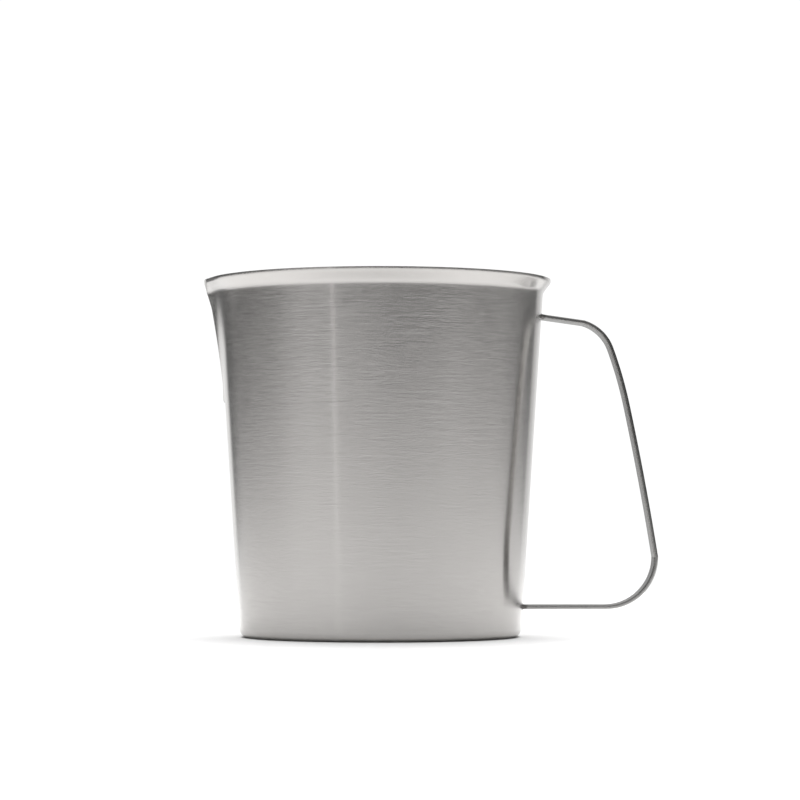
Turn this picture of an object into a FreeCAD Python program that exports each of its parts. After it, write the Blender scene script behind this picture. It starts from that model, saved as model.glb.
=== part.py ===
import FreeCAD, Part
import math
import os

import Sketcher
from FreeCAD import Placement, Rotation, Vector

# Candle melting pot: a drawn steel cup with a flared rim and a pulled spout, and a flat strap handle
# butt-welded to its wall. Millimetres and degrees. +Z is up, the base stands on z = 0, the cup's axis is
# the Z axis, the handle is on the +X side and the spout on the -X side.

DIMENSIONS = {
    # Cup. The wall is a straight cone; its radius is stated where it would meet the base plane.
    "pot_height": 127.0,
    "wall_base_radius": 49.9,
    "wall_taper": 3.784,
    "sheet": 0.7,
    "base_corner": 3.0,
    # Flared rim: a small bend, a straight slope measured from the vertical, and a plain cut edge.
    "rim_radius": 60.8,
    "lip_edge": 1.0,
    "flare_slope": 37.0,
    "flare_bend": 3.6,
    # Spout: a wedge with straight flanks and a rounded nose. Flank and nose are distances from the axis.
    "flank_angle": 69.0,
    "flank_bite": 0.25,
    "nose_reach": 63.1,
    "nose_slope": 16.7,
    "shoulder_height": 117.0,
    "shoulder_flank": 56.7,
    "foot_height": 90.0,
    "foot_flank": 52.2,
    "foot_nose": 55.75,
    # Strap handle: one flat strap bent along a centre line of tangent lines and arcs. The leg's radius
    # isn't a dimension: it follows from the places of the two arms.
    "strap_width": 11.6,
    "strap_thickness": 1.4,
    "strap_edge": 0.4,
    "strap_start": 46.0,
    "lower_arm_height": 10.7,
    "lower_bend_reach": 80.15,
    "lower_bend": 17.6,
    "heel_bend": 2.5,
    "heel_turn": 8.9,
    "leg_turn": 3.0,
    "crest_bend": 150.0,
    "crest_turn": 8.0,
    "upper_bend": 14.9,
    "upper_turn": 52.0,
    "elbow_bend": 4.0,
    "elbow_turn": 9.9,
    "upper_arm_end": 54.0,
    "upper_arm_height": 114.45,
    # Weld beads, each a short ring segment round the cup's axis.
    "weld_length": 10.6,
    "upper_bead": 0.9,
    "lower_bead": 0.8,
}

OVERCUT = 1.0   # how far a cutting shape runs past the face that it cuts

doc = FreeCAD.newDocument("candle_melting_pot")


def make_sheet():
    """Put every driving dimension in the spreadsheet under its own alias."""
    table = doc.addObject("Spreadsheet::Sheet", "dims")
    for row, (alias, value) in enumerate(DIMENSIONS.items(), start=1):
        table.set("A%d" % row, alias)
        table.set("B%d" % row, str(value))
        table.setAlias("B%d" % row, alias)
    doc.recompute()
    return table


sheet = make_sheet()


class Term:
    """A number together with the spreadsheet expression that gives it."""

    def __init__(self, value, text):
        self.value = value
        self.text = text

    def __add__(self, other):
        return Term(self.value + other.value, "(%s + %s)" % (self.text, other.text))

    def __sub__(self, other):
        return Term(self.value - other.value, "(%s - %s)" % (self.text, other.text))

    def __mul__(self, other):
        return Term(self.value * other.value, "%s * %s" % (self.text, other.text))

    def __truediv__(self, other):
        return Term(self.value / other.value, "%s / (%s)" % (self.text, other.text))


def dim(alias):
    """A driving dimension from the spreadsheet."""
    return Term(float(sheet.get(alias)), "dims." + alias)


def plain(value):
    """A fixed number."""
    return Term(float(value), "%s" % value)


def sine(angle):
    return Term(math.sin(math.radians(angle.value)), "sin(%s)" % angle.text)


def cosine(angle):
    return Term(math.cos(math.radians(angle.value)), "cos(%s)" % angle.text)


def tangent(angle):
    return Term(math.tan(math.radians(angle.value)), "tan(%s)" % angle.text)


# ---------------------------------------------------------------- sketch helpers

ORIGIN = (-1, 1)    # a sketch's origin point
ACROSS = -1         # a sketch's horizontal axis
UP = -2             # a sketch's vertical axis


def origin_feature(body, role):
    """The body's own origin plane or axis with this role."""
    for feature in body.Origin.OriginFeatures:
        if feature.Role == role:
            return feature
    raise ValueError("no origin feature " + role)


def new_sketch(body, name, role, offset=None):
    """An empty sketch on an origin plane of the body, moved along the plane's normal."""
    sketch = body.newObject("Sketcher::SketchObject", name)
    sketch.AttachmentSupport = (origin_feature(body, role), "")
    sketch.MapMode = "FlatFace"
    if offset:
        sketch.setExpression("AttachmentOffset.Base.z", offset.text)
    return sketch


def fix(sketch, kind, *references):
    """Add a geometric constraint."""
    sketch.addConstraint(Sketcher.Constraint(kind, *references))


def drive(sketch, name, size, kind, *references):
    """Add a dimension under a name and bind it to the spreadsheet. Angles are in degrees."""
    angle = kind == "Angle"
    value = math.radians(size.value) if angle else size.value
    index = sketch.addConstraint(Sketcher.Constraint(kind, *references, value))
    sketch.renameConstraint(index, name)
    sketch.setExpression("Constraints." + name, "%s * 1deg" % size.text if angle else size.text)


def arc_between(start, end, radius, left):
    """Arc of a radius from start to end that turns left or right, stored counter-clockwise."""
    half_chord = (end - start) * 0.5
    apothem = math.sqrt(max(radius ** 2 - half_chord.Length ** 2, 0.0))
    side = Vector(-half_chord.y, half_chord.x, 0).normalize()
    centre = start + half_chord + side * (apothem if left else -apothem)
    first, last = (start, end) if left else (end, start)
    start_angle = math.atan2(first.y - centre.y, first.x - centre.x)
    end_angle = math.atan2(last.y - centre.y, last.x - centre.x)
    return Part.ArcOfCircle(Part.Circle(centre, Vector(0, 0, 1), radius), start_angle, end_angle)


def draw_run(sketch, start, pieces, closed):
    """Draw lines and arcs end to end. A joint at an arc is tangent, and two lines meet in a corner.

    A piece is an end point for a line, or (end point, radius, turns left) for an arc. The points only
    start the solver off: the constraints added afterwards decide the shape.
    """
    drawn = []
    here = start
    for piece in pieces:
        if isinstance(piece, Vector):
            index = sketch.addGeometry(Part.LineSegment(here, piece), False)
            drawn.append((index, 1, 2, False))
            here = piece
        else:
            end, radius, left = piece
            index = sketch.addGeometry(arc_between(here, end, radius, left), False)
            drawn.append((index, 1 if left else 2, 2 if left else 1, True))
            here = end
    followers = drawn[1:] + drawn[:1] if closed else drawn[1:]
    for before, after in zip(drawn, followers):
        kind = "Tangent" if before[3] or after[3] else "Coincident"
        fix(sketch, kind, before[0], before[2], after[0], after[1])
    return [item[0] for item in drawn]


def new_body(name):
    """A body whose Label names its file."""
    body = doc.addObject("PartDesign::Body", name)
    body.Label = name
    return body


# ---------------------------------------------------------------- cup

NONE = plain(0)
EDGE_HEIGHT = dim("pot_height") - dim("lip_edge")
OPEN_TOP = dim("pot_height") + plain(OVERCUT)


def wall_radius(height):
    """Outer radius of the tapered wall at a height."""
    return dim("wall_base_radius") + height * tangent(dim("wall_taper"))


def slope_radius(height):
    """Outer radius of the flare's straight slope at a height."""
    return dim("rim_radius") - (EDGE_HEIGHT - height) * tangent(dim("flare_slope"))


def flare_corner():
    """Height where the wall and the flare's slope would meet if there were no bend between them."""
    step = dim("wall_base_radius") - slope_radius(NONE)
    return step / (tangent(dim("flare_slope")) - tangent(dim("wall_taper")))


def bend_reach():
    """Length that the flare's bend takes from each side of its corner."""
    return dim("flare_bend") * tangent((dim("flare_slope") - dim("wall_taper")) / plain(2))


def bend_start():
    """Height where the wall ends and the flare's bend begins."""
    return flare_corner() - bend_reach() * cosine(dim("wall_taper"))


def bend_end():
    """Height where the flare's bend ends and its straight slope begins."""
    return flare_corner() + bend_reach() * cosine(dim("flare_slope"))


def cup_profile(body, name, gap, inside):
    """Half section of the cup on the surface that lies a gap inside its outside."""
    corner = dim("base_corner") - gap
    bend = dim("flare_bend") + gap
    top = OPEN_TOP if inside else dim("pot_height")
    slope_top = OPEN_TOP if inside else EDGE_HEIGHT
    corner_radius = wall_radius(corner).value - gap.value
    outline = [
        Vector(corner_radius - corner.value, gap.value, 0),
        (Vector(corner_radius, gap.value + corner.value, 0), corner.value, True),
        Vector(wall_radius(bend_start()).value - gap.value, bend_start().value, 0),
        (Vector(slope_radius(bend_end()).value - gap.value, bend_end().value, 0), bend.value, False),
        Vector(slope_radius(slope_top).value - gap.value, slope_top.value, 0),
    ]
    if not inside:
        outline.append(Vector(dim("rim_radius").value, top.value, 0))
    outline.append(Vector(0, top.value, 0))
    outline.append(Vector(0, gap.value, 0))

    sketch = new_sketch(body, name, "XZ_Plane")
    lines = draw_run(sketch, Vector(0, gap.value, 0), outline, closed=True)
    floor, corner_arc, wall, bend_arc, slope = lines[:5]
    lid, axis = lines[-2:]
    fix(sketch, "Horizontal", floor)
    fix(sketch, "Horizontal", lid)
    fix(sketch, "PointOnObject", axis, 1, UP)
    fix(sketch, "PointOnObject", axis, 2, UP)
    if inside:
        drive(sketch, "floor_height", gap, "DistanceY", *ORIGIN, floor, 1)
    else:
        lip = lines[5]
        fix(sketch, "PointOnObject", floor, 1, ACROSS)
        fix(sketch, "Vertical", lip)
        drive(sketch, "lip_edge", dim("lip_edge"), "DistanceY", lip, 1, lip, 2)
    drive(sketch, "corner", corner, "Radius", corner_arc)
    drive(sketch, "wall_lean", plain(90) - dim("wall_taper"), "Angle", wall)
    wall_offset = dim("wall_base_radius") * cosine(dim("wall_taper")) - gap
    drive(sketch, "wall_offset", wall_offset, "Distance", *ORIGIN, wall)
    drive(sketch, "bend", bend, "Radius", bend_arc)
    drive(sketch, "slope_lean", plain(90) - dim("flare_slope"), "Angle", slope)
    slope_offset = (EDGE_HEIGHT * sine(dim("flare_slope"))
                    - dim("rim_radius") * cosine(dim("flare_slope")) + gap)
    drive(sketch, "slope_offset", slope_offset, "Distance", *ORIGIN, slope)
    drive(sketch, "top", top, "DistanceY", *ORIGIN, lid, 1)
    return sketch


def nose_distance(height):
    """Distance from the axis to the spout's nose, on its straight part near the rim."""
    return dim("nose_reach") - (EDGE_HEIGHT - height) * tangent(dim("nose_slope"))


def spout_section(body, name, height, flank, nose):
    """Wedge with two straight flanks and a rounded nose, at a height."""
    spread = plain(90) - dim("flank_angle")
    nose_radius = (flank - nose * sine(dim("flank_angle"))) / (plain(1) - sine(dim("flank_angle")))
    foot_x = flank * cosine(spread)
    foot_y = flank * sine(spread)
    tip_x = nose.value - nose_radius.value + nose_radius.value * cosine(spread).value
    tip_y = nose_radius.value * sine(spread).value
    outline = [
        Vector(-tip_x, -tip_y, 0),
        (Vector(-tip_x, tip_y, 0), nose_radius.value, False),
        Vector(-foot_x.value, foot_y.value, 0),
        Vector(-foot_x.value, -foot_y.value, 0),
    ]
    sketch = new_sketch(body, name, "XY_Plane", height)
    right, nose_arc, left, _ = draw_run(
        sketch, Vector(-foot_x.value, -foot_y.value, 0), outline, closed=True)
    fix(sketch, "PointOnObject", nose_arc, 3, ACROSS)
    fix(sketch, "Symmetric", left, 2, right, 1, ACROSS)
    drive(sketch, "flank_angle", dim("flank_angle"), "Angle", left)
    drive(sketch, "flank", flank, "Distance", *ORIGIN, left)
    drive(sketch, "foot", foot_x, "DistanceX", left, 2, *ORIGIN)
    drive(sketch, "nose", nose_radius, "Radius", nose_arc)
    return sketch


def spout_sections(body, prefix, inside):
    """Wedge sections from the spout's foot to the rim, on the outside surface or the inside one."""
    bite = dim("flank_bite")
    sheet_level = dim("sheet") / cosine(dim("wall_taper"))
    sheet_slope = dim("sheet") / cosine(dim("flare_slope"))
    sheet_nose = dim("sheet") / cosine(dim("nose_slope"))
    if inside:
        wall_gap, slope_gap, nose_gap = sheet_level, sheet_slope, sheet_nose
    else:
        wall_gap, slope_gap, nose_gap = NONE, NONE, NONE
    shoulder = dim("shoulder_height")
    levels = [
        ("foot", dim("foot_height"), dim("foot_flank") - wall_gap, dim("foot_nose") - wall_gap),
        ("shoulder", shoulder, dim("shoulder_flank") - wall_gap,
         nose_distance(shoulder) - nose_gap),
        ("neck", bend_start(), wall_radius(bend_start()) - bite - wall_gap,
         nose_distance(bend_start()) - nose_gap),
        ("bend", bend_end(), slope_radius(bend_end()) - bite - slope_gap,
         nose_distance(bend_end()) - nose_gap),
    ]
    if inside:
        levels.append(("rim", OPEN_TOP, slope_radius(OPEN_TOP) - bite - slope_gap,
                       nose_distance(OPEN_TOP) - nose_gap))
    else:
        levels.append(("edge", EDGE_HEIGHT, dim("rim_radius") - bite, dim("nose_reach")))
        levels.append(("rim", dim("pot_height"), dim("rim_radius") - bite, dim("nose_reach")))
    return [spout_section(body, prefix + "_" + name, height, flank, nose)
            for name, height, flank, nose in levels]


def loft(body, kind, name, sections):
    """Straight-sided loft through sections listed from one end to the other."""
    feature = body.newObject(kind, name)
    feature.Profile = sections[0]
    feature.Sections = sections[1:]
    feature.Ruled = True
    return feature


def make_cup():
    """The drawn shell: turned blank, spout outside, turned hollow, spout inside."""
    body = new_body("pot_body")
    blank = body.newObject("PartDesign::Revolution", "cup_blank")
    blank.Profile = cup_profile(body, "cup_outside", NONE, inside=False)
    blank.ReferenceAxis = (blank.Profile[0], ["V_Axis"])
    blank.Angle = 360
    outside = spout_sections(body, "spout_outside", inside=False)
    loft(body, "PartDesign::AdditiveLoft", "spout_blank", outside)
    hollow = body.newObject("PartDesign::Groove", "cup_hollow")
    hollow.Profile = cup_profile(body, "cup_inside", dim("sheet"), inside=True)
    hollow.ReferenceAxis = (hollow.Profile[0], ["V_Axis"])
    hollow.Angle = 360
    within = spout_sections(body, "spout_inside", inside=True)
    loft(body, "PartDesign::SubtractiveLoft", "spout_hollow", within)
    return body


# ---------------------------------------------------------------- strap handle

def turn_from(point, heading, radius, turn):
    """End point of an arc that leaves a point at a heading and turns left."""
    start = math.radians(heading)
    end = math.radians(heading + turn)
    step = Vector(math.sin(end) - math.sin(start), math.cos(start) - math.cos(end), 0)
    return point + step * radius


def strap_path(body):
    """Centre line of the strap from the lower weld round to the upper one.

    The leg's radius isn't driven. It starts near its size and the solver finds it.
    """
    lower = dim("lower_arm_height")
    bends = [
        ("heel", dim("heel_turn"), dim("heel_bend")),
        ("leg", dim("leg_turn"), None),
        ("crest", dim("crest_turn"), dim("crest_bend")),
        ("upper", dim("upper_turn"), dim("upper_bend")),
        ("elbow", dim("elbow_turn"), dim("elbow_bend")),
    ]
    leg_start_size = 1000.0
    here = Vector(dim("lower_bend_reach").value, lower.value, 0)
    pieces = [here]
    here = turn_from(here, 0, dim("lower_bend").value, 90)
    pieces.append((here, dim("lower_bend").value, True))
    heading = 90.0
    for name, turn, radius in bends:
        size = radius.value if radius else leg_start_size
        here = turn_from(here, heading, size, turn.value)
        heading += turn.value
        pieces.append((here, size, True))
    arm_end = dim("upper_arm_end").value
    arm_rise = (arm_end - here.x) * math.tan(math.radians(heading))
    pieces.append(Vector(arm_end, here.y + arm_rise, 0))

    sketch = new_sketch(body, "strap_path", "XZ_Plane")
    lines = draw_run(sketch, Vector(dim("strap_start").value, lower.value, 0), pieces, closed=False)
    lower_arm, lower_arc = lines[:2]
    upper_arm = lines[-1]
    fix(sketch, "Horizontal", lower_arm)
    drive(sketch, "strap_start", dim("strap_start"), "DistanceX", *ORIGIN, lower_arm, 1)
    drive(sketch, "lower_arm_height", lower, "DistanceY", *ORIGIN, lower_arm, 1)
    drive(sketch, "lower_bend_reach", dim("lower_bend_reach"), "DistanceX", *ORIGIN, lower_arm, 2)
    drive(sketch, "lower_bend", dim("lower_bend"), "Radius", lower_arc)
    drive(sketch, "lower_turn", plain(90), "Angle", lower_arc)
    for index, (name, turn, radius) in zip(lines[2:-1], bends):
        drive(sketch, name + "_turn", turn, "Angle", index)
        if radius:
            drive(sketch, name + "_bend", radius, "Radius", index)
    drive(sketch, "upper_arm_end", dim("upper_arm_end"), "DistanceX", *ORIGIN, upper_arm, 2)
    drive(sketch, "upper_arm_height", dim("upper_arm_height"), "DistanceY", *ORIGIN, upper_arm, 2)
    return sketch


def strap_section(body):
    """Flat strip with rounded edges, square to the start of the path."""
    sketch = new_sketch(body, "strap_section", "YZ_Plane", dim("strap_start"))
    centre = dim("lower_arm_height")
    half_width = dim("strap_width") / plain(2)
    half_sheet = dim("strap_thickness") / plain(2)
    edge = dim("strap_edge").value
    left, right = -half_width.value, half_width.value
    low, high = centre.value - half_sheet.value, centre.value + half_sheet.value
    outline = [
        Vector(right - edge, low, 0),
        (Vector(right, low + edge, 0), edge, True),
        Vector(right, high - edge, 0),
        (Vector(right - edge, high, 0), edge, True),
        Vector(left + edge, high, 0),
        (Vector(left, high - edge, 0), edge, True),
        Vector(left, low + edge, 0),
        (Vector(left + edge, low, 0), edge, True),
    ]
    lines = draw_run(sketch, Vector(left + edge, low, 0), outline, closed=True)
    bottom, corner, right_side, _, top, _, left_side, _ = lines
    for flat in (bottom, top):
        fix(sketch, "Horizontal", flat)
    for side in (right_side, left_side):
        fix(sketch, "Vertical", side)
    for arc in lines[3::2]:
        fix(sketch, "Equal", corner, arc)
    drive(sketch, "edge", dim("strap_edge"), "Radius", corner)
    drive(sketch, "half_width", half_width, "DistanceX", *ORIGIN, right_side, 1)
    drive(sketch, "width", dim("strap_width"), "DistanceX", left_side, 1, right_side, 1)
    drive(sketch, "underside", centre - half_sheet, "DistanceY", *ORIGIN, bottom, 1)
    drive(sketch, "thickness", dim("strap_thickness"), "DistanceY", bottom, 1, top, 1)
    return sketch


def wall_cone(body, name):
    """Half section of everything inside the cup's wall, to cope the strap's ends to it."""
    top = dim("pot_height")
    outline = [
        Vector(dim("wall_base_radius").value, 0, 0),
        Vector(wall_radius(top).value, top.value, 0),
        Vector(0, top.value, 0),
        Vector(0, 0, 0),
    ]
    sketch = new_sketch(body, name, "XZ_Plane")
    floor, wall, lid, axis = draw_run(sketch, Vector(0, 0, 0), outline, closed=True)
    fix(sketch, "Coincident", floor, 1, *ORIGIN)
    fix(sketch, "Horizontal", floor)
    fix(sketch, "Horizontal", lid)
    fix(sketch, "Vertical", axis)
    drive(sketch, "base", dim("wall_base_radius"), "DistanceX", *ORIGIN, floor, 2)
    drive(sketch, "lean", plain(90) - dim("wall_taper"), "Angle", wall)
    drive(sketch, "height", top, "DistanceY", *ORIGIN, lid, 2)
    return sketch


def make_strap():
    """The strap swept along its path, with both ends coped to the wall."""
    body = new_body("handle_strap")
    sweep = body.newObject("PartDesign::AdditivePipe", "strap_sweep")
    sweep.Spine = (strap_path(body), [])
    sweep.Profile = strap_section(body)
    cope = body.newObject("PartDesign::Groove", "strap_cope")
    cope.Profile = wall_cone(body, "cup_cone")
    cope.ReferenceAxis = (cope.Profile[0], ["V_Axis"])
    cope.Angle = 360
    return body


# ---------------------------------------------------------------- weld beads

def upper_arm_face(side):
    """Height where the upper arm's top face (side 1) or bottom face (side -1) meets the wall."""
    slope = plain(90)
    for turn in ("heel_turn", "leg_turn", "crest_turn", "upper_turn", "elbow_turn"):
        slope = slope - dim(turn)
    run = wall_radius(dim("upper_arm_height")) - dim("upper_arm_end")
    half = dim("strap_thickness") / cosine(slope) / plain(2)
    return dim("upper_arm_height") - run * tangent(slope) + half * plain(side)


def lower_arm_face(side):
    """Height of the lower arm's top face (side 1) or bottom face (side -1)."""
    return dim("lower_arm_height") + dim("strap_thickness") / plain(2) * plain(side)


def make_core():
    """Everything inside the cup's outer wall, as one solid cone to cut the beads with."""
    core = doc.addObject("Part::Cone", "cup_core")
    core.setExpression("Radius1", dim("wall_base_radius").text)
    core.setExpression("Radius2", wall_radius(dim("pot_height")).text)
    core.setExpression("Height", dim("pot_height").text)
    return core


def make_bead(name, bead, face_height, core, strap):
    """Ring segment along the joint of the wall and one face of the strap, cut back to both."""
    seat = wall_radius(face_height)
    sweep = dim("weld_length") / seat
    ring = doc.addObject("Part::Torus", name + "_ring")
    ring.Placement = Placement(Vector(0, 0, 0), Rotation(Vector(0, 0, -1), 1))
    ring.setExpression("Radius1", seat.text)
    ring.setExpression("Radius2", bead.text)
    ring.setExpression("Angle3", "%s * 1rad" % sweep.text)
    ring.setExpression("Placement.Base.z", face_height.text)
    ring.setExpression("Placement.Rotation.Angle", "%s * 0.5rad" % sweep.text)
    outside_cup = doc.addObject("Part::Cut", name + "_outside_cup")
    outside_cup.Base = ring
    outside_cup.Tool = core
    result = doc.addObject("Part::Cut", name)
    result.Label = name
    result.Base = outside_cup
    result.Tool = strap
    return result


def make_beads(strap):
    """The four weld beads, above and below each end of the strap."""
    core = make_core()
    places = [
        ("upper_weld_top", dim("upper_bead"), upper_arm_face(1)),
        ("upper_weld_bottom", dim("upper_bead"), upper_arm_face(-1)),
        ("lower_weld_top", dim("lower_bead"), lower_arm_face(1)),
        ("lower_weld_bottom", dim("lower_bead"), lower_arm_face(-1)),
    ]
    return [make_bead(name, bead, height, core, strap) for name, bead, height in places]


# ---------------------------------------------------------------- build, check and write

def check_document(parts):
    """Stop on any failed object, and on any part that isn't one valid closed solid."""
    for item in doc.Objects:
        if "Invalid" in item.State or "Error" in item.State:
            raise RuntimeError("%s failed: %s" % (item.Name, item.State))
    for part in parts:
        shape = part.Shape
        if shape.isNull() or not shape.isValid():
            raise RuntimeError(part.Label + " has no valid shape")
        if len(shape.Solids) != 1:
            raise RuntimeError("%s has %d solids" % (part.Label, len(shape.Solids)))


def write_parts(parts):
    """Write each part's solid under its Label."""
    os.makedirs("parts", exist_ok=True)
    for part in parts:
        part.Shape.exportStep("parts/%s.step" % part.Label)
        print("%-18s %10.2f mm3" % (part.Label, part.Shape.Volume))


cup = make_cup()
strap = make_strap()
parts = [cup, strap] + make_beads(strap)
doc.recompute()
check_document(parts)
write_parts(parts)
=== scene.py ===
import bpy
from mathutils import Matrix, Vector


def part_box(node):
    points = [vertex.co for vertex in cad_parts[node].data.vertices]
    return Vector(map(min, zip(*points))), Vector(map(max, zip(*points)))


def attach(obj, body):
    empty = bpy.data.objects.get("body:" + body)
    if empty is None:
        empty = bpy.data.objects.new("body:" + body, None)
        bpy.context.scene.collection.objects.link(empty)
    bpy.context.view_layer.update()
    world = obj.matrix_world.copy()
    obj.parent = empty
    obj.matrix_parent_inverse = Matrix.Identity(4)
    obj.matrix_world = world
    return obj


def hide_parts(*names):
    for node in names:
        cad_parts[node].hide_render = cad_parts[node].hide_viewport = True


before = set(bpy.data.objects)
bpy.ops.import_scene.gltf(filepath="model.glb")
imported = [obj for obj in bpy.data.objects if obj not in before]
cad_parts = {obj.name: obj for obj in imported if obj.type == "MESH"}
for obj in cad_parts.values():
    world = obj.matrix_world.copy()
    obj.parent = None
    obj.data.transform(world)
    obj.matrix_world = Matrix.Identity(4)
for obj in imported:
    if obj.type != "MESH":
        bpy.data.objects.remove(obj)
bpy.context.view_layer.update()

import math

import bpy
from mathutils import Vector, noise

# Candle melting pot in brushed stainless steel. Metres and degrees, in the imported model's frame:
# +Z up, the base on z = 0, the handle on +X and the spout on -X.

MM = 0.001
BRUSH_LAYER = "brush"

# ---------------------------------------------------------------- sizes

cup_low, cup_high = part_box("pot_body")
HEIGHT = cup_high.z
RIM_RADIUS = cup_high.y
NOSE_REACH = -cup_low.x

WALL_BASE_RADIUS = 49.9 * MM
WALL_TAPER = math.radians(3.784)
SHEET = 0.7 * MM
BASE_CORNER = 3.0 * MM
LIP_EDGE = 1.0 * MM
FLARE_SLOPE = math.radians(37.0)
FLARE_BEND = 3.6 * MM
EDGE_ROUND = 1.9 * MM
LIP_ROUND = 0.12 * MM

NOSE_SLOPE = math.radians(16.7)
FLANK_SPREAD = math.radians(21.0)
FLANK_BITE = 0.25 * MM
SHOULDER_HEIGHT = 117.0 * MM
SHOULDER_FLANK = 56.7 * MM
FOOT_HEIGHT = 90.0 * MM
FOOT_FLANK = 52.2 * MM
FOOT_NOSE = 55.75 * MM
SPOUT_BLEND = 2.2 * MM

EDGE_HEIGHT = HEIGHT - LIP_EDGE


def blend_between(value, low, high):
    """Share of the way from low to high, kept between 0 and 1."""
    return min(max((value - low) / (high - low), 0.0), 1.0)


def between(share, start, end):
    """Value at a share of the way from start to end."""
    return start + (end - start) * share


# ---------------------------------------------------------------- cup

def wall_radius(height):
    """Outer radius of the tapered wall."""
    return WALL_BASE_RADIUS + height * math.tan(WALL_TAPER)


def slope_radius(height):
    """Outer radius of the flare's straight slope."""
    return RIM_RADIUS - (EDGE_HEIGHT - height) * math.tan(FLARE_SLOPE)


def round_run(points, step):
    """Points along a run of straight lines whose corners are rounded; points are (r, z, corner radius)."""
    run = [Vector(points[0][:2])]
    for before, here, after in zip(points, points[1:], points[2:]):
        corner, radius = Vector(here[:2]), here[2]
        back = (Vector(before[:2]) - corner).normalized()
        ahead = (Vector(after[:2]) - corner).normalized()
        half = back.angle(ahead) / 2
        reach = radius / math.tan(half)
        centre = corner + (back + ahead).normalized() * (radius / math.sin(half))
        first, last = corner + back * reach, corner + ahead * reach
        add_straight(run, first, step)
        turn = math.pi - 2 * half
        count = max(3, math.ceil(turn / math.radians(6)))
        arm = first - centre
        side = 1 if arm.cross(last - centre) > 0 else -1
        for index in range(1, count + 1):
            angle = side * turn * index / count
            turned = Vector((arm.x * math.cos(angle) - arm.y * math.sin(angle),
                             arm.x * math.sin(angle) + arm.y * math.cos(angle)))
            run.append(centre + turned)
    add_straight(run, Vector(points[-1][:2]), step)
    return run


def add_straight(run, end, step):
    """Carry the run on in a straight line with points no further apart than the step."""
    start = run[-1].copy()
    count = max(1, math.ceil((end - start).length / step))
    for index in range(1, count + 1):
        run.append(start.lerp(end, index / count))


def cup_run(step):
    """The sheet's whole section: out along the underside, up the outside, over the rim and back inside."""
    tan_wall, tan_slope = math.tan(WALL_TAPER), math.tan(FLARE_SLOPE)
    wall_gap, slope_gap = SHEET / math.cos(WALL_TAPER), SHEET / math.cos(FLARE_SLOPE)
    outer_corner = (WALL_BASE_RADIUS - slope_radius(0)) / (tan_slope - tan_wall)
    inner_corner = outer_corner + (slope_gap - wall_gap) / (tan_slope - tan_wall)
    return round_run([
        (0.0, 0.0, 0.0),
        (wall_radius(0.0), 0.0, BASE_CORNER),
        (wall_radius(outer_corner), outer_corner, FLARE_BEND),
        (RIM_RADIUS, EDGE_HEIGHT, EDGE_ROUND),
        (RIM_RADIUS, HEIGHT, LIP_ROUND),
        (slope_radius(HEIGHT) - slope_gap, HEIGHT, LIP_ROUND),
        (wall_radius(inner_corner) - wall_gap, inner_corner, FLARE_BEND + SHEET),
        (wall_radius(SHEET) - wall_gap, SHEET, BASE_CORNER - SHEET),
        (0.0, SHEET, 0.0),
    ], step)


def cup_radius(height):
    """Outer radius of the cup without its spout."""
    return max(wall_radius(height), slope_radius(min(height, EDGE_HEIGHT)))


def nose_distance(height):
    """Distance from the axis to the spout's nose."""
    top = NOSE_REACH - (EDGE_HEIGHT - min(height, EDGE_HEIGHT)) * math.tan(NOSE_SLOPE)
    if height >= SHOULDER_HEIGHT:
        return top
    shoulder = NOSE_REACH - (EDGE_HEIGHT - SHOULDER_HEIGHT) * math.tan(NOSE_SLOPE)
    return between(blend_between(height, FOOT_HEIGHT, SHOULDER_HEIGHT), FOOT_NOSE, shoulder)


def flank_distance(height):
    """Distance from the axis to the spout's straight flanks."""
    if height < SHOULDER_HEIGHT:
        return between(blend_between(height, FOOT_HEIGHT, SHOULDER_HEIGHT), FOOT_FLANK, SHOULDER_FLANK)
    neck = EDGE_HEIGHT - 4.8 * MM
    if height < neck:
        share = blend_between(height, SHOULDER_HEIGHT, neck)
        return between(share, SHOULDER_FLANK, cup_radius(neck) - FLANK_BITE)
    return cup_radius(height) - FLANK_BITE


def spout_radius(height, angle):
    """Distance from the axis to the spout's wedge at an angle from the nose."""
    flank, nose = flank_distance(height), nose_distance(height)
    spread = math.cos(FLANK_SPREAD)
    nose_radius = (flank - nose * spread) / (1 - spread)
    centre = nose - nose_radius
    touch = math.atan2(nose_radius * math.sin(FLANK_SPREAD), centre + nose_radius * spread)
    if angle < touch:
        side = centre * math.sin(angle)
        return centre * math.cos(angle) + math.sqrt(nose_radius ** 2 - side ** 2)
    if angle < FLANK_SPREAD:
        return flank / math.cos(FLANK_SPREAD - angle)
    return flank * math.cos(angle - FLANK_SPREAD)


def smooth_max(first, second, width):
    """The larger of two numbers, with the change from one to the other rounded off."""
    overlap = max(width - abs(first - second), 0.0) / width
    return max(first, second) + overlap * overlap * width / 4


def spout_push(height, angle):
    """How far the spout pushes the sheet outwards."""
    if height < FOOT_HEIGHT - 6 * MM:
        return 0.0
    cup = cup_radius(height)
    return smooth_max(cup, spout_radius(height, angle), SPOUT_BLEND) - cup


def turn_angles():
    """Angles round the cup measured from the nose, close together at the spout."""
    half = []
    angle = 0.0
    while angle < 180:
        half.append(angle)
        if angle < 4:
            angle += 0.25
        elif angle < 32:
            angle += 0.7
        else:
            angle += 148 / 100
    return [math.radians(a) for a in half] + [math.pi] + [math.radians(360 - a) for a in reversed(half[1:])]


def mesh_object(name, vertices, faces, layer):
    """A smooth-shaded mesh with one UV layer given as a list of corners per face, in metres."""
    mesh = bpy.data.meshes.new(name)
    mesh.from_pydata([tuple(v) for v in vertices], [], faces)
    uv = mesh.uv_layers.new(name="brush")
    corners = [corner for face in layer for corner in face]
    uv.data.foreach_set("uv", [value for corner in corners for value in corner])
    mesh.polygons.foreach_set("use_smooth", [True] * len(faces))
    mesh.validate()
    mesh.update()
    piece = bpy.data.objects.new(name, mesh)
    bpy.context.scene.collection.objects.link(piece)
    return piece


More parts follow.
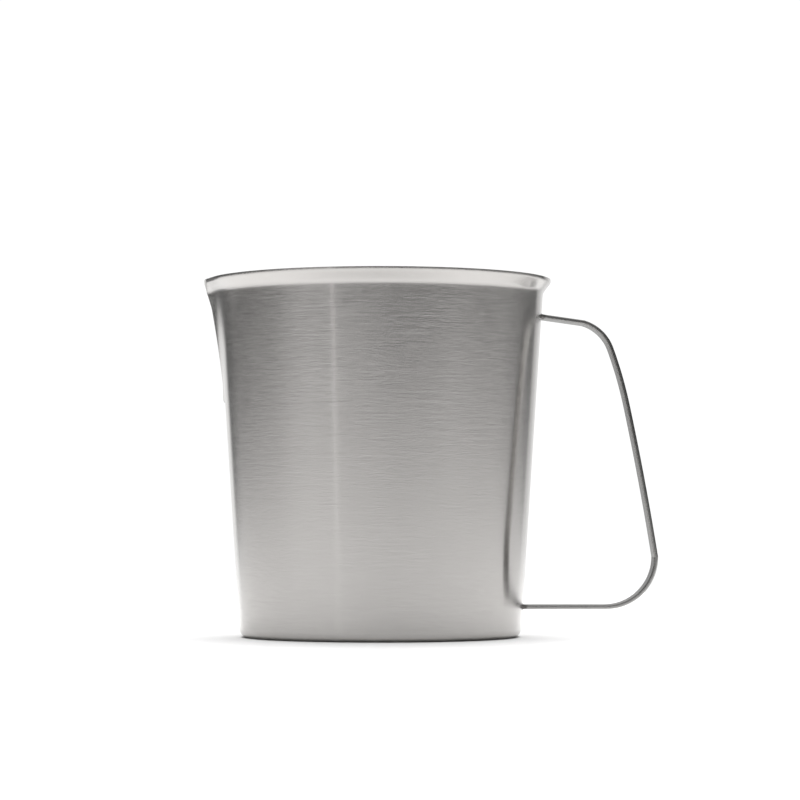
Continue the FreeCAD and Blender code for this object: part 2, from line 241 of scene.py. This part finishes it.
def make_cup():
    """The shell as one closed sheet. Its UVs run round the axis and along the section."""
    run = cup_run(1.2 * MM)
    angles = turn_angles()
    count = len(angles)
    along = [0.0]
    for before, here in zip(run, run[1:]):
        along.append(along[-1] + (here - before).length)
    vertices = [Vector((0, 0, run[0].y))]
    for point in run[1:-1]:
        for angle in angles:
            nose_angle = min(angle, 2 * math.pi - angle)
            radius = point.x
            if point.y > HEIGHT / 2:
                radius += spout_push(point.y, nose_angle)
            vertices.append(Vector((-radius * math.cos(angle), -radius * math.sin(angle), point.y)))
    vertices.append(Vector((0, 0, run[-1].y)))
    last = len(vertices) - 1

    def place(row, column):
        if row == 0:
            return 0
        if row == len(run) - 1:
            return last
        return 1 + (row - 1) * count + column % count

    def uv(row, column):
        angle = angles[column] if column < count else 2 * math.pi
        return (angle * RIM_RADIUS, along[row])

    faces, layer = [], []
    for row in range(len(run) - 1):
        for column in range(count):
            square = [(row, column), (row, column + 1), (row + 1, column + 1), (row + 1, column)]
            if row == 0:
                square = [square[0], square[2], square[3]]
            elif row == len(run) - 2:
                square = [square[0], square[1], square[3]]
            faces.append([place(*corner) for corner in square])
            layer.append([uv(*corner) for corner in square])
    piece = mesh_object("cup_shell", vertices, faces, layer)
    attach(piece, "root")
    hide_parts("pot_body")
    return piece


# ---------------------------------------------------------------- strap

strap_low, strap_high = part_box("handle_strap")
STRAP_WIDTH = strap_high.y - strap_low.y
STRAP_THICKNESS = 1.4 * MM
STRAP_EDGE = 0.4 * MM
LOWER_BEND = 17.6 * MM
UPPER_ARM_MARK = Vector((54.0 * MM, 114.45 * MM))
HEEL = (8.9, 2.5 * MM)
LEG_TURN = 3.0
UPPER_BENDS = [(8.0, 150.0 * MM), (52.0, 14.9 * MM), (9.9, 4.0 * MM)]


def turned(heading, turn):
    """Displacement of an arc of radius one that leaves at a heading and turns left, in degrees."""
    start, end = math.radians(heading), math.radians(heading + turn)
    return Vector((math.sin(end) - math.sin(start), math.cos(start) - math.cos(end)))


def strap_bends():
    """The strap's bends as (turn, radius), with the leg's radius found from the upper arm's place."""
    lower_height = strap_low.z + STRAP_THICKNESS / 2
    outer_face = strap_high.x - STRAP_THICKNESS / 2
    start = Vector((outer_face - LOWER_BEND, lower_height))
    fixed = start + turned(0, 90) * LOWER_BEND + turned(90, HEEL[0]) * HEEL[1]
    heading = 90 + HEEL[0]
    leg = turned(heading, LEG_TURN)
    heading += LEG_TURN
    for turn, radius in UPPER_BENDS:
        fixed += turned(heading, turn) * radius
        heading += turn
    across = Vector((-math.sin(math.radians(heading)), math.cos(math.radians(heading))))
    leg_radius = (UPPER_ARM_MARK - fixed).dot(across) / leg.dot(across)
    return start, [(90, LOWER_BEND), HEEL, (LEG_TURN, leg_radius)] + UPPER_BENDS


def strap_line():
    """Points and headings along the strap's centre line, from wall to wall."""
    start, bends = strap_bends()
    stations = []
    arm_start = Vector((wall_radius(start.y), start.y))
    count = 16
    for index in range(count):
        stations.append((arm_start.lerp(start, index / count), 0.0))
    here, heading = start, 0.0
    for turn, radius in bends:
        count = max(6, math.ceil(turn / 3), math.ceil(math.radians(turn) * radius / (2 * MM)))
        for index in range(count):
            part = turn * index / count
            stations.append((here + turned(heading, part) * radius, heading + part))
        here = here + turned(heading, turn) * radius
        heading += turn
    slope = math.tan(math.radians(heading))
    end_x = (wall_radius(here.y - here.x * slope)) / (1 - math.tan(WALL_TAPER) * slope)
    end = Vector((end_x, here.y + (end_x - here.x) * slope))
    count = 10
    for index in range(count + 1):
        stations.append((here.lerp(end, index / count), heading))
    return stations


def strap_outline():
    """Cross-section of the strip as (across, through) pairs, with rounded edges."""
    half_width, half_sheet = STRAP_WIDTH / 2, STRAP_THICKNESS / 2
    outline = []
    corners = [(1, -1, -90), (1, 1, 0), (-1, 1, 90), (-1, -1, 180)]
    for side, face, start in corners:
        centre = Vector((side * (half_width - STRAP_EDGE), face * (half_sheet - STRAP_EDGE)))
        for index in range(9):
            angle = math.radians(start + 90 * index / 8)
            outline.append(centre + Vector((math.cos(angle), math.sin(angle))) * STRAP_EDGE)
    flat = []
    for here, after in zip(outline, outline[1:] + outline[:1]):
        flat.append(here)
        gap = (after - here).length
        if gap > 3 * MM:
            flat.extend(here.lerp(after, index / 8) for index in range(1, 8))
    return flat


def make_strap():
    """The bent strip, its ends shaped to the wall. Its UVs run along it and round its section."""
    stations = strap_line()
    outline = strap_outline()
    count = len(outline)
    girth = [0.0]
    for before, here in zip(outline, outline[1:] + outline[:1]):
        girth.append(girth[-1] + (here - before).length)
    vertices = []
    for row, (point, heading) in enumerate(stations):
        direction = Vector((math.cos(math.radians(heading)), 0, math.sin(math.radians(heading))))
        normal = Vector((direction.z, 0, -direction.x))
        at_wall = row in (0, len(stations) - 1)
        for across, through in outline:
            place = Vector((point.x, across, point.y)) + normal * through
            if at_wall:
                place = onto_wall(place, direction)
            vertices.append(place)
    faces, layer = [], []
    length = 0.0
    for row in range(len(stations) - 1):
        step = (stations[row + 1][0] - stations[row][0]).length
        for column in range(count):
            after = (column + 1) % count
            faces.append([row * count + column, row * count + after,
                          (row + 1) * count + after, (row + 1) * count + column])
            layer.append([(length, girth[column]), (length, girth[column + 1]),
                          (length + step, girth[column + 1]), (length + step, girth[column])])
        length += step
    final = (len(stations) - 1) * count
    for ring, flip in ((range(count), True), (range(final, final + count), False)):
        corners = list(reversed(ring)) if flip else list(ring)
        faces.append(corners)
        layer.append([(vertices[c].y, vertices[c].z) for c in corners])
    piece = mesh_object("strap_bar", vertices, faces, layer)
    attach(piece, "root")
    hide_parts("handle_strap")
    piece.visible_shadow = False
    piece.visible_diffuse = False
    return piece


def onto_wall(place, direction):
    """Slide a point along a direction until it lies on the cup's outer wall."""
    for _ in range(6):
        miss = math.hypot(place.x, place.y) - wall_radius(place.z)
        outward = Vector((place.x, place.y, 0)).normalized().dot(direction)
        place = place - direction * (miss / outward)
    return place


# ---------------------------------------------------------------- weld beads

def make_bead(name, node, lift, seed):
    """An uneven bead of weld metal in the corner between the wall and one face of the strap."""
    low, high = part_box(node)
    length = high.y - low.y
    above = lift > 0
    seat_height = low.z if above else high.z
    thick = (high.z - low.z) * 0.5
    rings, spokes = 56, 20
    vertices = []
    for ring in range(rings + 1):
        share = ring / rings
        across = between(share, low.y, high.y)
        end_fall = math.sqrt(max(1 - abs(2 * share - 1) ** 4, 0.0))
        for spoke in range(spokes):
            angle = 2 * math.pi * spoke / spokes
            ripple = noise.noise(Vector((across / (1.1 * MM), math.cos(angle), math.sin(angle) + seed)))
            radius = thick * end_fall * (1 + 0.16 * ripple)
            height = seat_height + radius * math.sin(angle)
            wall = wall_radius(height)
            out = math.sqrt(max(wall ** 2 - across ** 2, 0.0))
            x = out + max(radius * math.cos(angle), -0.3 * MM)
            vertices.append(Vector((x, across, height)))
    faces, layer = [], []
    for ring in range(rings):
        for spoke in range(spokes):
            after = (spoke + 1) % spokes
            square = [(ring, spoke), (ring, after), (ring + 1, after), (ring + 1, spoke)]
            faces.append([r * spokes + s for r, s in square])
            layer.append([(length * r / rings, s * 0.3 * MM) for r, s in square])
    piece = mesh_object(name, vertices, faces, layer)
    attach(piece, "root")
    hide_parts(node)
    return piece


# ---------------------------------------------------------------- materials

def new_material(name):
    """A material with an empty node tree, its shader and its output."""
    material = bpy.data.materials.new(name)
    material.use_nodes = True
    tree = material.node_tree
    tree.nodes.clear()
    output = tree.nodes.new("ShaderNodeOutputMaterial")
    shader = tree.nodes.new("ShaderNodeBsdfPrincipled")
    tree.links.new(shader.outputs["BSDF"], output.inputs["Surface"])
    return material, tree, shader


def math_node(tree, operation, first, second):
    """A math node whose inputs are sockets or numbers."""
    node = tree.nodes.new("ShaderNodeMath")
    node.operation = operation
    for socket, value in zip(node.inputs, (first, second)):
        if isinstance(value, (int, float)):
            socket.default_value = value
        else:
            tree.links.new(value, socket)
    return node.outputs[0]


def noise_at(tree, vector, detail=2.0):
    """Noise read at a vector, from about 0 to 1."""
    node = tree.nodes.new("ShaderNodeTexNoise")
    node.inputs["Scale"].default_value = 1.0
    node.inputs["Detail"].default_value = detail
    node.inputs["Roughness"].default_value = 0.6
    tree.links.new(vector, node.inputs["Vector"])
    return node.outputs["Fac"]


def combine(tree, x, y, z):
    """A vector whose parts are sockets or numbers."""
    node = tree.nodes.new("ShaderNodeCombineXYZ")
    for socket, value in zip(node.inputs, (x, y, z)):
        if isinstance(value, (int, float)):
            socket.default_value = value
        else:
            tree.links.new(value, socket)
    return node.outputs[0]


def separate(tree, vector):
    """A vector split into its three parts."""
    node = tree.nodes.new("ShaderNodeSeparateXYZ")
    tree.links.new(vector, node.inputs[0])
    return node


def brush_place(tree):
    """Place along and across the brushing, in metres."""
    layer = tree.nodes.new("ShaderNodeUVMap")
    layer.uv_map = BRUSH_LAYER
    return separate(tree, layer.outputs[0])


def ring_streaks(tree, length, width, detail=2.0):
    """Streaks that run round the cup's axis, of about this length and width."""
    split = separate(tree, tree.nodes.new("ShaderNodeTexCoord").outputs["Object"])
    uv = brush_place(tree)
    x = math_node(tree, "DIVIDE", split.outputs["X"], length)
    y = math_node(tree, "DIVIDE", split.outputs["Y"], length)
    z = math_node(tree, "DIVIDE", uv.outputs["Y"], width)
    return noise_at(tree, combine(tree, x, y, z), detail)


def strap_streaks(tree, length, width, detail=2.0):
    """Streaks that run along the strap."""
    uv = brush_place(tree)
    u = math_node(tree, "DIVIDE", uv.outputs["X"], length)
    v = math_node(tree, "DIVIDE", uv.outputs["Y"], width)
    return noise_at(tree, combine(tree, u, v, 0.0), detail)


def weigh(tree, parts):
    """Sum of (noise - 0.5) * weight over the parts."""
    total = None
    for value, weight in parts:
        term = math_node(tree, "MULTIPLY", math_node(tree, "SUBTRACT", value, 0.5), weight)
        total = term if total is None else math_node(tree, "ADD", total, term)
    return total


def height_gain(tree, low, high):
    """Factor that rises from low near the cup's base to high near its rim."""
    split = separate(tree, tree.nodes.new("ShaderNodeTexCoord").outputs["Object"])
    node = tree.nodes.new("ShaderNodeMapRange")
    limits = (("From Min", 20 * MM), ("From Max", 110 * MM), ("To Min", low), ("To Max", high))
    for socket, value in limits:
        node.inputs[socket].default_value = value
    tree.links.new(split.outputs["Z"], node.inputs["Value"])
    return node.outputs["Result"]


# A quarter turn of the highlight, so that it spreads across the brushing.
BRUSH_TURN = 0.25


def finish_steel(tree, shader, base, roughness, anisotropy, rotation, depth, tone, rough, bump):
    """Set up brushed steel: tone and rough are added variations, bump is a height."""
    shader.inputs["Metallic"].default_value = 1.0
    shader.inputs["Anisotropic"].default_value = anisotropy
    shader.inputs["Anisotropic Rotation"].default_value = rotation
    tangent = tree.nodes.new("ShaderNodeTangent")
    tangent.direction_type = "UV_MAP"
    tangent.uv_map = BRUSH_LAYER
    tree.links.new(tangent.outputs[0], shader.inputs["Tangent"])
    factor = math_node(tree, "ADD", tone, 1.0)
    scale = tree.nodes.new("ShaderNodeVectorMath")
    scale.operation = "SCALE"
    scale.inputs[0].default_value = base
    tree.links.new(factor, scale.inputs["Scale"])
    tree.links.new(scale.outputs[0], shader.inputs["Base Color"])
    level = math_node(tree, "ADD", rough, roughness)
    tree.links.new(level, shader.inputs["Roughness"])
    relief = tree.nodes.new("ShaderNodeBump")
    relief.inputs["Strength"].default_value = 1.0
    relief.inputs["Distance"].default_value = depth
    tree.links.new(bump, relief.inputs["Height"])
    tree.links.new(relief.outputs[0], shader.inputs["Normal"])


def cup_steel():
    """Sheet brushed round the axis: fine short hairlines over longer streaks and a faint mottle."""
    material, tree, shader = new_material("cup_steel")
    fine = ring_streaks(tree, 3.2 * MM, 0.42 * MM, 2.0)
    medium = ring_streaks(tree, 8 * MM, 0.7 * MM, 2.0)
    long = ring_streaks(tree, 50 * MM, 1.6 * MM, 1.0)
    mottle = ring_streaks(tree, 26 * MM, 9 * MM)
    tone = weigh(tree, [(fine, 0.12), (medium, 0.1), (mottle, 0.06)])
    rough = weigh(tree, [(fine, 0.09), (medium, 0.07)])
    bump = weigh(tree, [(fine, 1.1), (medium, 1.0), (long, 0.6)])
    gain = height_gain(tree, 0.45, 1.2)
    tone = math_node(tree, "MULTIPLY", tone, gain)
    bump = math_node(tree, "MULTIPLY", bump, gain)
    finish_steel(tree, shader, base=(0.541, 0.525, 0.51), roughness=0.225, anisotropy=0.97,
                 rotation=BRUSH_TURN, depth=0.015 * MM, tone=tone, rough=rough, bump=bump)
    return material


def strap_steel():
    """Strip brushed lengthwise, rougher and darker than the cup, and less bright at a glancing angle; the
    darker base colour is painted shade on the same steel as the cup.
    """
    material, tree, shader = new_material("strap_steel")
    fine = strap_streaks(tree, 9 * MM, 0.25 * MM, 3.0)
    long = strap_streaks(tree, 40 * MM, 0.8 * MM)
    tone = weigh(tree, [(fine, 0.12), (long, 0.08)])
    rough = weigh(tree, [(fine, 0.08), (long, 0.05)])
    bump = weigh(tree, [(fine, 1.0), (long, 1.0)])
    shader.inputs["Specular Tint"].default_value = (0.55, 0.55, 0.55, 1.0)
    # Base colour darker than the cup's steel: painted shade that darkens the whole strap.
    finish_steel(tree, shader, base=(0.36, 0.355, 0.347), roughness=0.26, anisotropy=0.6,
                 rotation=BRUSH_TURN, depth=0.003 * MM, tone=tone, rough=rough, bump=bump)
    return material


def weld_metal():
    """Solidified weld metal: duller, with fine ripples and small dark flecks; its very dark base colour is
    painted shade for the dark reflections the beads show.
    """
    material, tree, shader = new_material("weld_metal")
    ripple = strap_streaks(tree, 0.5 * MM, 1.6 * MM, 3.0)
    fleck = strap_streaks(tree, 0.35 * MM, 0.3 * MM, 2.0)
    tone = weigh(tree, [(ripple, 0.5), (fleck, 0.3)])
    rough = weigh(tree, [(fleck, 0.3)])
    bump = weigh(tree, [(ripple, 1.0), (fleck, 0.5)])
    # Very dark base colour: painted shade, standing in for the dark reflections on the weld beads.
    finish_steel(tree, shader, base=(0.13, 0.127, 0.124), roughness=0.36, anisotropy=0.0,
                 rotation=0.0, depth=0.08 * MM, tone=tone, rough=rough, bump=bump)
    return material


# ---------------------------------------------------------------- studio

BACKDROP_LEVEL = 1.05
CEILING_LEVEL = 0.9
PANEL_PLACE = (0.0, 0.17, 1.1)
PANEL_WIDTH, PANEL_DEPTH = 0.9, 1.0
PANEL_POWER = 16.8
LENS = 129.04
CAMERA_DISTANCE, CAMERA_HEIGHT = 1.02315, 0.04254
CAMERA_TIP, CAMERA_TURN = 2.338, -0.39
FLOOR_LEFT, FLOOR_RIGHT = -0.75, 0.75
FLOOR_FRONT, FLOOR_BACK = -0.62, 0.6


def make_floor():
    """Plain pale table top."""
    corners = [(FLOOR_LEFT, FLOOR_FRONT, 0), (FLOOR_RIGHT, FLOOR_FRONT, 0),
               (FLOOR_RIGHT, FLOOR_BACK, 0), (FLOOR_LEFT, FLOOR_BACK, 0)]
    floor = mesh_object("studio_floor", [Vector(c) for c in corners], [[0, 1, 2, 3]],
                        [[(c[0], c[1]) for c in corners]])
    material, tree, shader = new_material("studio_floor")
    shader.inputs["Base Color"].default_value = (0.88, 0.88, 0.88, 1.0)
    shader.inputs["Roughness"].default_value = 0.9
    floor.data.materials.append(material)


def ramp_node(tree, factor, stops):
    """Grey levels along a factor, given as (position, level) stops joined by smooth curves."""
    node = tree.nodes.new("ShaderNodeValToRGB")
    node.color_ramp.interpolation = "EASE"
    elements = node.color_ramp.elements
    while len(elements) > 1:
        elements.remove(elements[-1])
    elements[0].position = stops[0][0]
    elements[0].color = (stops[0][1],) * 3 + (1.0,)
    for position, level in stops[1:]:
        element = elements.new(position)
        element.color = (level,) * 3 + (1.0,)
    tree.links.new(factor, node.inputs[0])
    return node.outputs[0]


def turn_stop(degrees, level):
    """A stop at an angle from the front, positive to the right."""
    return ((degrees + 180) / 360, level)


def make_world():
    """White all round for the camera; to the steel, a dark room with a bright backdrop and a grey ceiling."""
    world = bpy.data.worlds.new("studio_world")
    bpy.context.scene.world = world
    world.use_nodes = True
    tree = world.node_tree
    tree.nodes.clear()
    output = tree.nodes.new("ShaderNodeOutputWorld")
    place = tree.nodes.new("ShaderNodeTexCoord").outputs["Generated"]
    split = tree.nodes.new("ShaderNodeSeparateXYZ")
    tree.links.new(place, split.inputs[0])
    front = math_node(tree, "MULTIPLY", split.outputs["Y"], -1.0)
    turn = math_node(tree, "ARCTAN2", split.outputs["X"], front)
    share = math_node(tree, "ADD", math_node(tree, "DIVIDE", turn, 2 * math.pi), 0.5)
    # Bright backdrop behind, a dim left side, a narrow bright strip left of the front, a dark right side.
    room = ramp_node(tree, share, [
        turn_stop(-180, 1.0), turn_stop(-157, 0.95), turn_stop(-148, 0.13), turn_stop(-115, 0.14),
        turn_stop(-88, 0.14), turn_stop(-62, 0.27), turn_stop(-34.1, 0.28), turn_stop(-33.7, 1.15),
        turn_stop(-33.3, 0.26), turn_stop(-15.7, 0.2), turn_stop(-15, 0.36), turn_stop(-14.3, 0.19),
        turn_stop(20, 0.08), turn_stop(48, 0.06), turn_stop(72, 0.15), turn_stop(98, 0.24),
        turn_stop(120, 0.2), turn_stop(143, 0.16), turn_stop(150, 0.66), turn_stop(165, 0.88),
        turn_stop(180, 1.0),
    ])
    fade = tree.nodes.new("ShaderNodeMapRange")
    fade.interpolation_type = "SMOOTHSTEP"
    for socket, value in (("From Min", 0.5), ("From Max", 0.8), ("To Min", 1.0), ("To Max", 0.0)):
        fade.inputs[socket].default_value = value
    tree.links.new(split.outputs["Z"], fade.inputs["Value"])
    walls = math_node(tree, "MULTIPLY", room, fade.outputs["Result"])
    above = math_node(tree, "SUBTRACT", 1.0, fade.outputs["Result"])
    ceiling = math_node(tree, "MULTIPLY", above, CEILING_LEVEL)
    strength = math_node(tree, "ADD", walls, ceiling)
    studio = tree.nodes.new("ShaderNodeBackground")
    tree.links.new(strength, studio.inputs["Strength"])
    studio.inputs["Color"].default_value = (1.0, 1.0, 1.0, 1.0)
    white = tree.nodes.new("ShaderNodeBackground")
    white.inputs["Color"].default_value = (1.0, 1.0, 1.0, 1.0)
    white.inputs["Strength"].default_value = BACKDROP_LEVEL
    ray = tree.nodes.new("ShaderNodeLightPath")
    mix = tree.nodes.new("ShaderNodeMixShader")
    tree.links.new(ray.outputs["Is Camera Ray"], mix.inputs[0])
    tree.links.new(studio.outputs[0], mix.inputs[1])
    tree.links.new(white.outputs[0], mix.inputs[2])
    tree.links.new(mix.outputs[0], output.inputs["Surface"])


def make_panel(name, place, target, width, depth, power):
    """A soft rectangular light that faces a point and stays out of reflections."""
    light = bpy.data.lights.new(name, "AREA")
    light.shape = "RECTANGLE"
    light.size = width
    light.size_y = depth
    light.energy = power
    panel = bpy.data.objects.new(name, light)
    panel.location = place
    panel.rotation_mode = "QUATERNION"
    panel.rotation_quaternion = (Vector(target) - Vector(place)).to_track_quat("-Z", "Y")
    bpy.context.scene.collection.objects.link(panel)
    panel.visible_glossy = False


def make_camera():
    """A long lens low in front of the pot, tipped up a little."""
    data = bpy.data.cameras.new("camera")
    data.sensor_width = 36.0
    data.lens = LENS
    camera = bpy.data.objects.new("camera", data)
    camera.location = (0.0, -CAMERA_DISTANCE, CAMERA_HEIGHT)
    camera.rotation_euler = (math.radians(90 + CAMERA_TIP), 0.0, math.radians(CAMERA_TURN))
    bpy.context.scene.collection.objects.link(camera)
    bpy.context.scene.camera = camera


# ---------------------------------------------------------------- build

cup = make_cup()
cup.data.materials.append(cup_steel())
strap = make_strap()
strap.data.materials.append(strap_steel())
weld = weld_metal()
for name, node, lift, seed in (
        ("upper_top_bead", "upper_weld_top", 1, 3.1),
        ("upper_under_bead", "upper_weld_bottom", -1, 8.7),
        ("lower_top_bead", "lower_weld_top", 1, 14.2),
        ("lower_under_bead", "lower_weld_bottom", -1, 21.9)):
    make_bead(name, node, lift, seed).data.materials.append(weld)
make_floor()
make_world()
make_panel("overhead", PANEL_PLACE, (0.0, 0.0, 0.0), PANEL_WIDTH, PANEL_DEPTH, PANEL_POWER)
make_camera()
bpy.context.scene.view_settings.view_transform = "Standard"
